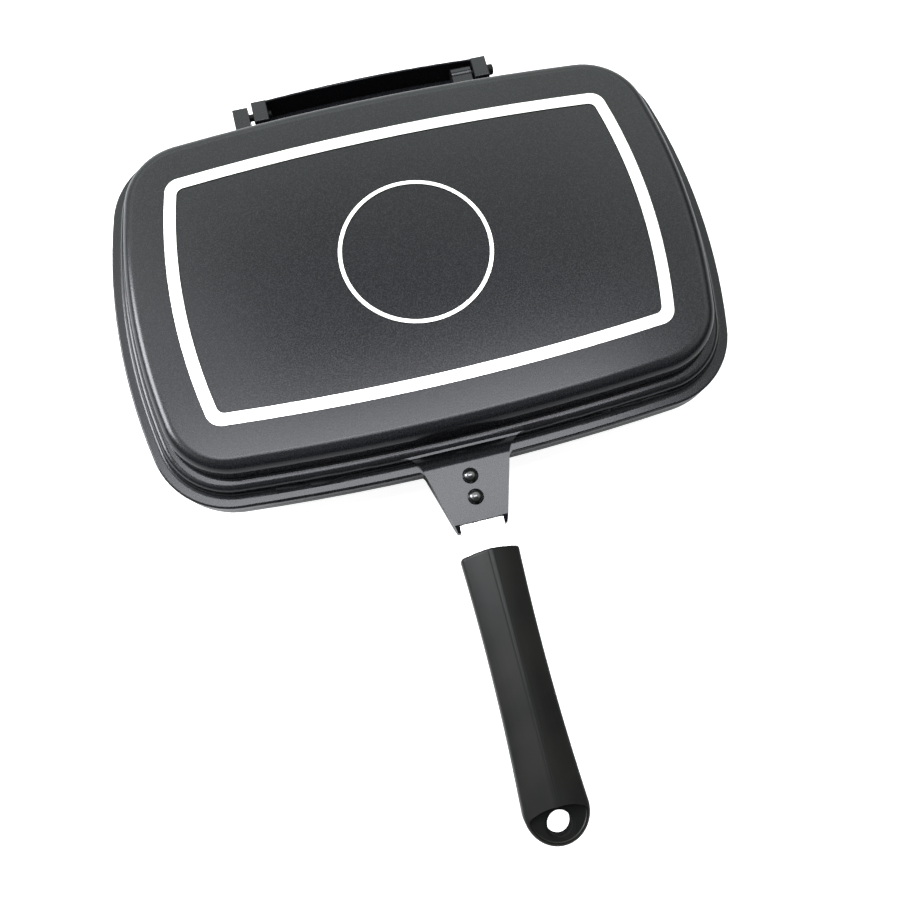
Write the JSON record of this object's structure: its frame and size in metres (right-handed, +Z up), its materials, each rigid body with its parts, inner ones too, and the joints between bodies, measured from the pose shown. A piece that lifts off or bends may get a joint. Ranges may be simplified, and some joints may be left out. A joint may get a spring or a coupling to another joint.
{
  "type": "double sided flip pan",
  "caption": "Two shallow rectangular cast pans that close rim to rim, hinged along the back, each with a half handle on a riveted steel shank.",
  "frame": {"origin": "middle of the lower pan's base, on the plane that its machined lands stand on", "axes": "+X along the pan, +Y towards the hinge and away from the handles, +Z up, from the lower pan to the upper pan"},
  "size_m": [0.3256, 0.4247, 0.0635],
  "materials": {
    "coated_casting": "cast aluminium with a dark grey speckled non-stick coating, base lands machined bright",
    "seal_rubber": "black silicone",
    "pin_steel": "turned steel pin",
    "shank_steel": "polished steel strip",
    "rivet_metal": "black domed rivets",
    "handle_phenolic": "satin black phenolic",
    "insert_brass": "plain turned brass",
    "screw_steel": "zinc plated steel",
    "magnet_ferrite": "dark grey ferrite",
    "cover_plastic": "satin black plastic"
  },
  "bodies": {
    "lower": {"lower_pan": "coated_casting", "drip_tray": "coated_casting", "rim_seal": "seal_rubber", "lower_shank": "shank_steel", "lower_tang_rivets": "rivet_metal", "lower_handle": "handle_phenolic", "lower_handle_inserts": "insert_brass", "lower_handle_screws": "screw_steel", "lower_magnet": "magnet_ferrite", "lower_magnet_cover": "cover_plastic"},
    "upper": {"upper_pan": "coated_casting", "left_hinge_pin": "pin_steel", "right_hinge_pin": "pin_steel", "upper_shank": "shank_steel", "upper_tang_rivets": "rivet_metal", "upper_handle": "handle_phenolic", "upper_handle_inserts": "insert_brass", "upper_handle_screws": "screw_steel", "upper_magnet": "magnet_ferrite", "upper_magnet_cover": "cover_plastic"}
  },
  "joints": [
    {"name": "pan_hinge", "type": "hinge", "parent": "lower", "child": "upper", "pos_m": [0, 0.1198, 0.03175], "axis": [-1, 0, 0], "range_deg": [0, 100]}
  ]
}
